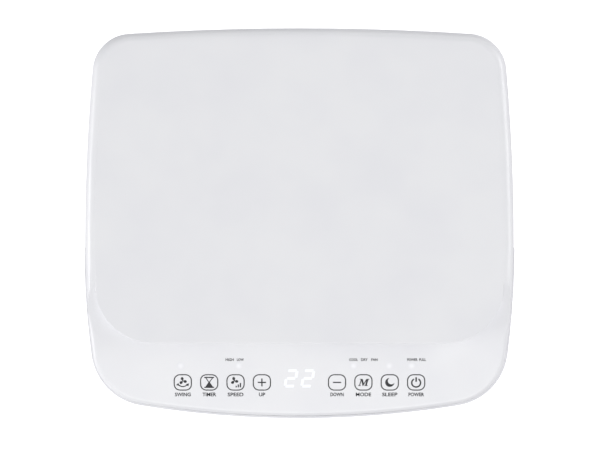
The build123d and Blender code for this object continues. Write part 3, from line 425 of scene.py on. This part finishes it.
for name, piece in frame["nodes"].items():
    dress(piece, FINISH_OF_SLOT[SLOT_OF_NODE[name]])
print("dressed", len(frame["nodes"]), "pieces")

# %% [markdown]
# ### Refined copies
#
# `refine` does the copying. The dissolve angle is small, so curved walls keep their strips, and only
# triangles that lie in one plane are joined. Bevel widths are those of the moulding tool: 0.3 to 0.6 mm
# on sharp edges. Smooth shading is then limited by angle, so wide curves look round and corners crisp.

# %% Copy, merge, bevel and smooth a moulded piece
FLAT_ANGLE = math.radians(0.6)
CRISP_ANGLE = math.radians(32)


def merged_copy(node):
    """A merged copy of a node's mesh as a new object."""
    source = frame["nodes"][node]
    piece = bpy.data.objects.new(node + "_moulded", source.data.copy())
    bpy.context.collection.objects.link(piece)
    edit_all(piece)
    bpy.ops.mesh.remove_doubles(threshold=0.002 * MM)
    bpy.ops.mesh.dissolve_limited(angle_limit=FLAT_ANGLE)
    close_edit()
    return piece


def stand_for(piece, node):
    """The piece takes the node's place, body and the finish of the node's slot."""
    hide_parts(node)
    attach(piece, BODY_OF_NODE[node])
    return dress(piece, FINISH_OF_SLOT[SLOT_OF_NODE[node]])


def smooth(piece, angle=CRISP_ANGLE):
    """Smooth shading below an angle; large flat faces keep their own direction."""
    pick(piece)
    bpy.ops.object.shade_smooth_by_angle(angle=angle)
    apply_modifier(piece, "WEIGHTED_NORMAL", keep_sharp=True)


def refine(node, edge_mm, segments=2):
    """Replace a node with its bevelled and smoothed copy."""
    piece = merged_copy(node)
    if edge_mm:
        apply_modifier(
            piece, "BEVEL", width=edge_mm * MM, segments=segments, limit_method="ANGLE",
            angle_limit=CRISP_ANGLE, use_clamp_overlap=False, miter_outer="MITER_ARC")
    smooth(piece)
    return stand_for(piece, node)


MOULDED_EDGES = {
    "front_shell": 0.4,
    "rear_shell": 0.4,
    "base_pan": 0.5,
    "right_handle_cup": 0.5,
    "left_handle_cup": 0.5,
    "outlet_frame": 0.3,
    "exhaust_ring": 0.5,
    "upper_louvre": 0,
    "lower_louvre": 0,
    "upper_intake_grille": 0,
    "lower_intake_grille": 0,
    "upper_drain_plug": 0.4,
    "lower_drain_plug": 0.4,
    "cord_gland": 0.4,
}
for node, edge_mm in MOULDED_EDGES.items():
    made = refine(node, edge_mm)
    print(node, "faces", len(made.data.polygons))

# %% [markdown]
# ### The top cover
#
# The cover is the piece that everyone looks at. Its side roll-off is already in the model, but the
# deck's outer edge and the plateau's front edge are knife sharp there. Rounding every sharp edge by the
# same width fails where the plateau's front wall runs out to nothing at the sides, so each edge gets a
# bevel weight instead: full along the front, fading to none where the wall fades.

# %% Weighted bevel on the deck's rim and the plateau's front edge
DECK_RIM_MM = 3.6
DECK_RIM_SEGMENTS = 5
PLATEAU_EDGE_SHARE = 0.2
FADE_FROM_Y = -62 * MM
FADE_TO_Y = -92 * MM
PLATEAU_HALF_WIDTH = 154.2 * MM
PLATEAU_FRONT_Y = -90.5 * MM

cover = merged_copy("top_cover")
mesh = cover.data
weights = mesh.attributes.new("bevel_weight_edge", "FLOAT", "EDGE")
faces_of_edge = {}
for face in mesh.polygons:
    for key in face.edge_keys:
        faces_of_edge.setdefault(key, []).append(face.normal.copy())
deck_normal = Vector((0, -math.sin(DECK_SLOPE), math.cos(DECK_SLOPE)))
rounded = 0
for edge in mesh.edges:
    normals = faces_of_edge[edge.key]
    spot = (mesh.vertices[edge.vertices[0]].co + mesh.vertices[edge.vertices[1]].co) / 2
    upright = any(abs(normal.z) < 0.1 for normal in normals)
    fade = min(max((FADE_FROM_Y - spot.y) / (FADE_FROM_Y - FADE_TO_Y), 0), 1)
    outside = spot.y < PLATEAU_FRONT_Y or abs(spot.x) > PLATEAU_HALF_WIDTH
    on_deck = any(normal.dot(deck_normal) > 0.9995 for normal in normals)
    on_plateau = any(normal.z > 0.99999 for normal in normals) and spot.z > PLATEAU_Z - MM
    if upright and on_deck and outside and spot.z > deck_place(0, spot.y).translation.z - MM:
        weights.data[edge.index].value = fade
    elif upright and on_plateau:
        weights.data[edge.index].value = fade * PLATEAU_EDGE_SHARE
    rounded += weights.data[edge.index].value > 0
apply_modifier(
    cover, "BEVEL", width=DECK_RIM_MM * MM, segments=DECK_RIM_SEGMENTS, limit_method="WEIGHT",
    use_clamp_overlap=False)
smooth(cover)
stand_for(cover, "top_cover")
print("rounded edges:", rounded, "faces:", len(cover.data.polygons))

# %% [markdown]
# ## Printing on the deck
#
# Keys, symbols and legends are pad-printed in dark grey ink. Each is drawn flat from plain shapes:
# filled circles, bars and insets, given the thickness of a thick ink film so that it is a closed
# solid, and laid on the deck. The words only say what the keys do, in a plain typeface.

# %% Ink and flat shapes
INK_FILM = 0.05 * MM
print_ink, tree, shader = new_finish("dark_grey_pad_printing_ink", "#1B1C20", 0.5, IOR=1.5)
rough_from(tree, shader, grain(tree, 1.5), 0.44, 0.56)


def bar(width, height, x=0.0, y=0.0):
    """A filled bar, in millimetres."""
    bpy.ops.mesh.primitive_plane_add(size=1, location=(x * MM, y * MM, 0))
    piece = bpy.context.active_object
    piece.scale = (width * MM, height * MM, 1)
    return settle(piece)


def disc(radius, x=0.0, y=0.0, stretch=(1, 1), turn=0.0, corners=28):
    """A filled circle or, with three corners, a triangle."""
    bpy.ops.mesh.primitive_circle_add(
        vertices=corners, radius=radius * MM, fill_type="NGON", location=(x * MM, y * MM, 0),
        rotation=(0, 0, math.radians(turn)))
    piece = bpy.context.active_object
    piece.scale = (*stretch, 1)
    return settle(piece)


def shape(points):
    """A flat face with its corners at the given points."""
    piece = disc(1, corners=len(points))
    for vertex, (x, y) in zip(piece.data.vertices, points):
        vertex.co = (x * MM, y * MM, 0)
    piece.data.update()
    if piece.data.polygons[0].normal.z < 0:
        edit_all(piece)
        bpy.ops.mesh.flip_normals()
        close_edit()
    return piece


def hollow_out(piece, line_mm):
    """Keep only a line of this width round a flat shape."""
    edit_all(piece)
    bpy.ops.mesh.inset(thickness=line_mm * MM)
    bpy.ops.mesh.delete(type="FACE")
    close_edit()
    return piece


def cut_away(piece, wanted):
    """Delete the faces that pass a test on their centre."""
    select_faces(piece, lambda centre, normal: wanted(centre / MM))
    pick(piece)
    bpy.ops.object.mode_set(mode="EDIT")
    bpy.ops.mesh.delete(type="FACE")
    close_edit()
    return piece


def words(text, cap_mm, width_mm=None, bold=0.022, shear=0.0):
    """Plain lettering as a mesh, centred, with a cap height and, if given, a total width."""
    bpy.ops.object.text_add()
    piece = bpy.context.active_object
    piece.data.body = text
    piece.data.align_x = "CENTER"
    piece.data.align_y = "CENTER"
    piece.data.offset = bold
    piece.data.shear = shear
    piece.data.resolution_u = 3
    pick(piece)
    bpy.ops.object.convert(target="MESH")
    tall = cap_mm * MM / piece.dimensions.y
    wide = width_mm * MM / piece.dimensions.x if width_mm else tall
    piece.scale = (wide, tall, 1)
    return settle(piece)


def lay_print(pieces, name, x, y):
    """Join flat shapes, give them the ink's thickness and lay them on the deck."""
    piece = join(pieces, name)
    apply_modifier(piece, "SOLIDIFY", thickness=INK_FILM, offset=1)
    settle(piece, deck_place(x * MM, y * MM, 0.01 * MM))
    dress(piece, print_ink)
    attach(piece, BODY_OF_NODE["top_cover"])
    return piece


# %% [markdown]
# ### Key symbols
#
# Eight symbols, each a short function that returns its flat shapes in millimetres about the key's
# centre. Plain ones are bars and discs; the hourglass, the letter and the moon are outlines drawn from
# their corners, and the power sign is a ring with a gap and a bar in it.

# %% Symbols
LINE = 0.8


def fan_blades(size, x=0.0, y=0.0):
    """Three blades round a hub."""
    shapes = [disc(size * 0.2, x, y)]
    for turn in (105, 225, 345):
        angle = math.radians(turn)
        out = size * 0.66
        blade_x = x + out * math.cos(angle)
        blade_y = y + out * math.sin(angle)
        shapes.append(disc(size * 0.46, blade_x, blade_y, (1.0, 0.86), turn))
    return shapes


def swing_sign():
    arc = hollow_out(disc(4.6, 0, 0.9, corners=48), LINE)
    cut_away(arc, lambda spot: spot.y > -1.9)
    heads = [
        disc(1.45, -3.7, -1.75, turn=105, corners=3),
        disc(1.45, 3.7, -1.75, turn=-45, corners=3),
    ]
    return [arc, *heads, *fan_blades(2.75, 0, 1.2)]


def timer_sign():
    """An hourglass between two caps, its sand all run down."""
    caps = [bar(7.4, 0.9, 0, 3.9), bar(7.4, 0.9, 0, -3.9)]
    left = shape([(-2.9, 3.5), (-2.1, 3.5), (0.3, 0.0), (-0.4, -0.1)])
    right = shape([(2.9, 3.5), (2.1, 3.5), (-0.3, 0.0), (0.4, -0.1)])
    sand = shape([(-0.45, 0.2), (0.45, 0.2), (2.9, -3.5), (-2.9, -3.5)])
    return [*caps, left, right, sand]


def speed_sign():
    heights = ((0.5, 1.3), (2.1, 2.3), (3.7, 3.5))
    bars = [bar(0.95, height, x, -3.9 + height / 2) for x, height in heights]
    return [*bars, *fan_blades(2.75, -0.9, 1.3)]


def plus_sign():
    return [bar(6.2, 0.95), bar(0.95, 2.6, 0, 1.78), bar(0.95, 2.6, 0, -1.78)]


def minus_sign():
    return [bar(6.2, 0.95)]


LETTER_SLANT = 0.28


def slanted(piece):
    """Lean a flat shape to the right."""
    for vertex in piece.data.vertices:
        vertex.co.x += vertex.co.y * LETTER_SLANT
    return piece


def mode_sign():
    """A slab-footed capital M, leaning to the right: a thin left upright and a thick right one."""
    stroke = [
        (-2.6, -2.7), (-1.9, -2.7), (-1.9, 1.3), (0.1, -2.7), (0.6, -2.7), (1.9, 1.3), (1.9, -2.7),
        (3.2, -2.7), (3.2, 2.7), (1.5, 2.7), (0.45, -0.7), (-1.3, 2.7), (-2.6, 2.7),
    ]
    slabs = [bar(1.9, 0.5, -2.3, -2.5), bar(2.5, 0.5, 2.6, -2.5), bar(1.6, 0.5, -2.6, 2.5),
             bar(1.6, 0.5, 3.0, 2.5)]
    return [slanted(piece) for piece in (shape(stroke), *slabs)]


MOON_R = 3.5
BITE_R = 2.7
BITE_SHIFT = 1.7
OPEN_WAY = math.radians(45)
OUTER_STEPS = 32
INNER_STEPS = 24


def sleep_sign():
    """A fat crescent moon, open to the upper right."""
    apart_sq = BITE_SHIFT**2
    outer_half = math.acos((MOON_R**2 + apart_sq - BITE_R**2) / (2 * MOON_R * BITE_SHIFT))
    inner_half = math.acos((MOON_R**2 - apart_sq - BITE_R**2) / (2 * BITE_R * BITE_SHIFT))
    points = []
    for step in range(OUTER_STEPS + 1):
        sweep = (2 * math.pi - 2 * outer_half) * step / OUTER_STEPS
        angle = OPEN_WAY + outer_half + sweep
        points.append((MOON_R * math.cos(angle), MOON_R * math.sin(angle)))
    for step in range(1, INNER_STEPS):
        sweep = (2 * math.pi - 2 * inner_half) * step / INNER_STEPS
        angle = OPEN_WAY - inner_half - sweep
        points.append((BITE_SHIFT * math.cos(OPEN_WAY) + BITE_R * math.cos(angle),
                       BITE_SHIFT * math.sin(OPEN_WAY) + BITE_R * math.sin(angle)))
    return [shape(points)]


def power_sign():
    ring = hollow_out(disc(3.9, 0, -0.3, corners=48), 1.1)
    cut_away(ring, lambda spot: spot.y > 0 and abs(spot.x) < 1.5)
    return [ring, bar(1.15, 3.6, 0, 2.3)]


# %% Keys, symbols and words
KEY_Y = -120.1
KEY_SIZE = (13.8, 12.9)
KEY_CORNER = 4.8
WORD_Y = -129.5
KEYS = (
    (-88.5, "SWING", 12.0, swing_sign),
    (-68.5, "TIMER", 10.4, timer_sign),
    (-48.5, "SPEED", 12.0, speed_sign),
    (-28.5, "UP", 4.8, plus_sign),
    (28.5, "DOWN", 10.0, minus_sign),
    (48.5, "MODE", 11.6, mode_sign),
    (68.5, "SLEEP", 11.6, sleep_sign),
    (88.5, "POWER", 11.8, power_sign),
)
WORD_CAP = 2.9
for x, word, width, symbol in KEYS:
    outline = bar(*KEY_SIZE)
    edit_all(outline)
    bpy.ops.mesh.bevel(offset=KEY_CORNER * MM, segments=7, affect="VERTICES")
    close_edit()
    hollow_out(outline, LINE)
    label = word.lower()
    lay_print([outline, *symbol()], f"key_{label}", x, KEY_Y)
    lay_print([words(word, WORD_CAP, width)], f"word_{label}", x, WORD_Y)
LEGENDS = (
    (-52.9, "HIGH", 6.2), (-44.9, "LOW", 5.2), (40.9, "COOL", 6.6), (49.0, "DRY", 5.0),
    (56.8, "FAN", 4.8), (85.4, "POWER", 7.8), (93.2, "FULL", 5.2),
)
LEGEND_Y = -102.8
for x, word, width in LEGENDS:
    lay_print([words(word, 2.1, width)], f"legend_{word.lower()}_{round(abs(x))}", x, LEGEND_Y)
print("keys printed:", len(KEYS), "legends printed:", len(LEGENDS))

# %% [markdown]
# ## Light through the deck
#
# The digits and lamps sit behind the white cover and shine through it, so the eye sees soft white
# shapes with no edge. Each lit bar of a digit is a six-sided bar with rounded corners, lifted by less
# than the ink and faintly luminous. A lamp's glow is a small disc with the cover's own finish, and a
# glow attribute, full in the middle and none at the rim, carries its light.

# %% Lit bars of the digits
digit_glow, tree, shader = new_finish("white_light_through_abs", "#F2F4F8", 0.36, IOR=1.54)
shader.inputs["Emission Color"].default_value = srgb("#F7FAFF")
shader.inputs["Emission Strength"].default_value = 0.09
DIGITS_Y = -117
DIGIT_PITCH = 12.7
DIGIT_SLANT = 0.17
BAR_THICK = 2.3
HALF_WIDE = 3.6
HALF_TALL = 6.1
LIT_BARS = (
    (0, 1, True), (1, 0.5, False), (0, 0, True), (-1, -0.5, False), (0, -1, True),
)


def digit(x):
    """The figure two, drawn from its five lit bars, leaning to the right."""
    lit = []
    for across, up, lying in LIT_BARS:
        length = 2 * HALF_WIDE - 0.6 if lying else HALF_TALL - 0.6
        size = (length, BAR_THICK) if lying else (BAR_THICK, length)
        piece = bar(*size, across * HALF_WIDE, up * HALF_TALL)
        edit_all(piece)
        bpy.ops.mesh.bevel(offset=0.7 * MM, segments=3, affect="VERTICES")
        close_edit()
        lit.append(piece)
    piece = join(lit, "digit")
    for vertex in piece.data.vertices:
        vertex.co.x += vertex.co.y * DIGIT_SLANT + x * MM
    return piece


glow_digits = join([digit(-DIGIT_PITCH / 2), digit(DIGIT_PITCH / 2)], "lit_digits")
apply_modifier(glow_digits, "SOLIDIFY", thickness=INK_FILM, offset=1)
settle(glow_digits, deck_place(0, DIGITS_Y * MM, 0.01 * MM))
dress(glow_digits, digit_glow)
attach(glow_digits, BODY_OF_NODE["digit_display"])

# %% Glow of the lit lamps
lamp_glow, tree, shader = new_finish("lamp_light_through_abs", "#E6E6E9", 0.34, IOR=1.54)
spread = add_node(tree, "ShaderNodeAttribute", {"attribute_name": "glow"})
shine = add_node(tree, "ShaderNodeMath", {"operation": "MULTIPLY"}, {
    0: spread.outputs["Fac"], 1: 0.1})
tree.links.new(shine.outputs["Value"], shader.inputs["Emission Strength"])
shader.inputs["Emission Color"].default_value = srgb("#FFFFFF")
GLOW_RADIUS = 3.2
GLOW_RINGS = 6
LIT_LAMPS = (-90, -46, 41, 68, 85)
LAMP_Y = -107.5
for x in LIT_LAMPS:
    spot = disc(GLOW_RADIUS)
    edit_all(spot)
    for ring in range(GLOW_RINGS - 1):
        bpy.ops.mesh.inset(thickness=GLOW_RADIUS / GLOW_RINGS * MM)
    bpy.ops.mesh.poke()
    close_edit()
    spot.name = f"lamp_glow_{'left' if x < 0 else 'right'}_{abs(x)}"
    apply_modifier(spot, "SOLIDIFY", thickness=INK_FILM / 2, offset=1)
    glow = spot.data.attributes.new("glow", "FLOAT", "POINT")
    for vertex, value in zip(spot.data.vertices, glow.data):
        share = vertex.co.xy.length / (GLOW_RADIUS * MM)
        value.value = max(1 - share, 0) ** 2 * (3 - 2 * max(1 - share, 0))
    settle(spot, deck_place(x * MM, LAMP_Y * MM, 0.01 * MM))
    dress(spot, lamp_glow)
    smooth(spot)
    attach(spot, BODY_OF_NODE["indicator_lamps"])
print("lit lamps:", len(LIT_LAMPS))

# %% [markdown]
# ## The studio
#
# A plain pale floor, an even sky and large soft lights, as for a catalogue. The floor glows only for the
# camera: it looks white, and yet the upright walls keep their own tone. One light stands low in front, so the deck, which leans that way, comes out lighter than the plateau, and two at the sides
# brighten the rolled edges. The camera looks straight down through a long lens from three metres above
# the plateau, so upright walls hide behind the top.

# %% Floor and sky
bpy.ops.object.select_all(action="DESELECT")
bpy.ops.mesh.primitive_plane_add(size=30)
floor = bpy.context.active_object
floor.name = "floor"
FLOOR_GLOW = 1.0
floor_paper, tree, shader = new_finish("white_background_paper", "#BFBFC2", 0.9)
seen = add_node(tree, "ShaderNodeLightPath")
lift = add_node(tree, "ShaderNodeMath", {"operation": "MULTIPLY"}, {
    0: seen.outputs["Is Camera Ray"], 1: FLOOR_GLOW})
tree.links.new(lift.outputs["Value"], shader.inputs["Emission Strength"])
shader.inputs["Emission Color"].default_value = srgb("#FFFFFF")
dress(floor, floor_paper)

sky = bpy.data.worlds.new("studio_sky")
bpy.context.scene.world = sky
sky.use_nodes = True
background = sky.node_tree.nodes["Background"]
background.inputs["Color"].default_value = srgb("#F2F3F5")
background.inputs["Strength"].default_value = 0.52

# %% Soft lights
LIGHTS = {
    "front_softbox": ((0.0, -2.6, 3.1), (2.6, 1.4), 50),
    "left_softbox": ((-3.2, -0.6, 1.5), (2.0, 1.2), 58),
    "right_softbox": ((3.0, 0.8, 2.0), (2.0, 1.2), 42),
    "back_softbox": ((0.6, 3.4, 1.9), (2.4, 1.2), 20),
}
for name, (spot, size, power) in LIGHTS.items():
    lamp = bpy.data.lights.new(name, "AREA")
    lamp.shape = "RECTANGLE"
    lamp.size, lamp.size_y = size
    lamp.energy = power
    stand = bpy.data.objects.new(name, lamp)
    bpy.context.collection.objects.link(stand)
    stand.location = spot
    aim = Vector((0, 0, 0.5)) - Vector(spot)
    stand.rotation_euler = aim.to_track_quat("-Z", "Y").to_euler()
    stand.visible_camera = False

# %% Camera straight above
CAMERA_ABOVE = 3.0
SENSOR_MM = 36
SEEN_WIDTH = 0.4537
lens = bpy.data.cameras.new("overhead_camera")
lens.sensor_width = SENSOR_MM
lens.lens = SENSOR_MM * CAMERA_ABOVE / SEEN_WIDTH
camera = bpy.data.objects.new("overhead_camera", lens)
bpy.context.collection.objects.link(camera)
camera.location = (0.0004, -0.0007, PLATEAU_Z - 0.01 + CAMERA_ABOVE)
lens.clip_end = 100
bpy.context.scene.camera = camera
bpy.context.scene.view_settings.view_transform = "Standard"
bpy.context.scene.view_settings.look = "None"
